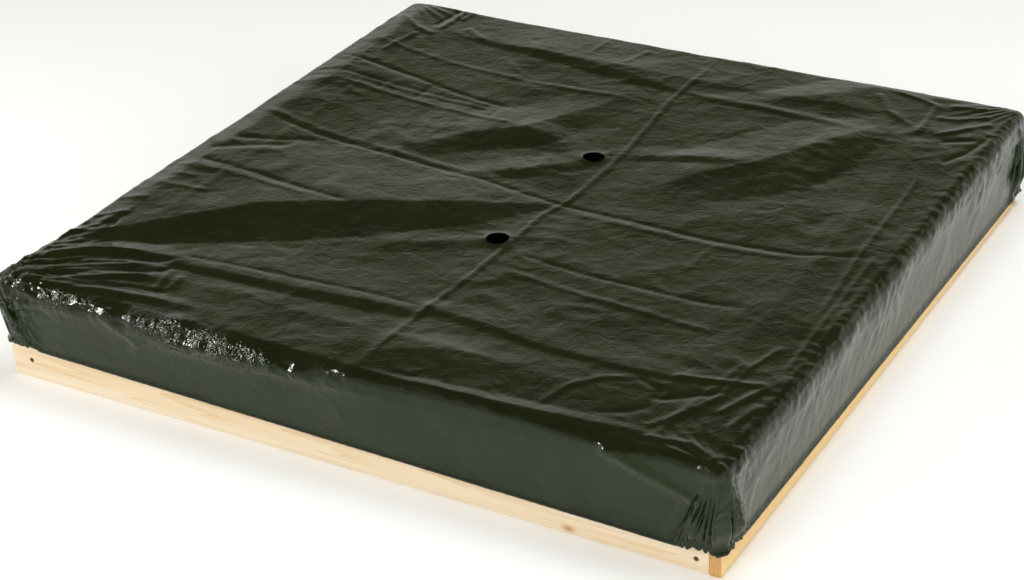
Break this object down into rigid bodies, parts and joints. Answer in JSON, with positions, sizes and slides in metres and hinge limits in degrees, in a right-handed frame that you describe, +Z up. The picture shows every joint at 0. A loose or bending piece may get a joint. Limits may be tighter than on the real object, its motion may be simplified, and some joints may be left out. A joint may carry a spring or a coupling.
{
  "type": "sandbox with cover",
  "caption": "Low square wooden sandbox with seat boards on its rim and a fitted film cover with drain holes and an elastic hem.",
  "frame": {"origin": "middle of the box's footprint, on the ground plane that the side boards and posts stand on", "axes": "+Z up, -Y towards the front side, +X towards the right side"},
  "size_m": [1.217, 1.2169, 0.1696],
  "materials": {
    "board_pine": "planed, unpainted",
    "post_pine": "planed, unpainted",
    "seat_pine": "planed, unpainted",
    "screw_steel": "dull brown passivated",
    "cover_film": "glossy, crumpled and creased",
    "elastic_cord": "matte"
  },
  "bodies": {
    "box": {"front_board": "board_pine", "right_board": "board_pine", "back_board": "board_pine", "left_board": "board_pine", "front_left_post": "post_pine", "front_right_post": "post_pine", "back_right_post": "post_pine", "back_left_post": "post_pine", "front_seat": "seat_pine", "right_seat": "seat_pine", "back_seat": "seat_pine", "left_seat": "seat_pine", "front_board_screws": "screw_steel", "right_board_screws": "screw_steel", "back_board_screws": "screw_steel", "left_board_screws": "screw_steel", "front_seat_screws": "screw_steel", "right_seat_screws": "screw_steel", "back_seat_screws": "screw_steel", "left_seat_screws": "screw_steel"},
    "cover": {"cover_sheet": "cover_film", "hem_elastic": "elastic_cord"}
  },
  "joints": [
    {"name": "cover_lift", "type": "slide", "parent": "box", "child": "cover", "axis": [0, 0, 1], "range_m": [0, 0.3]}
  ]
}
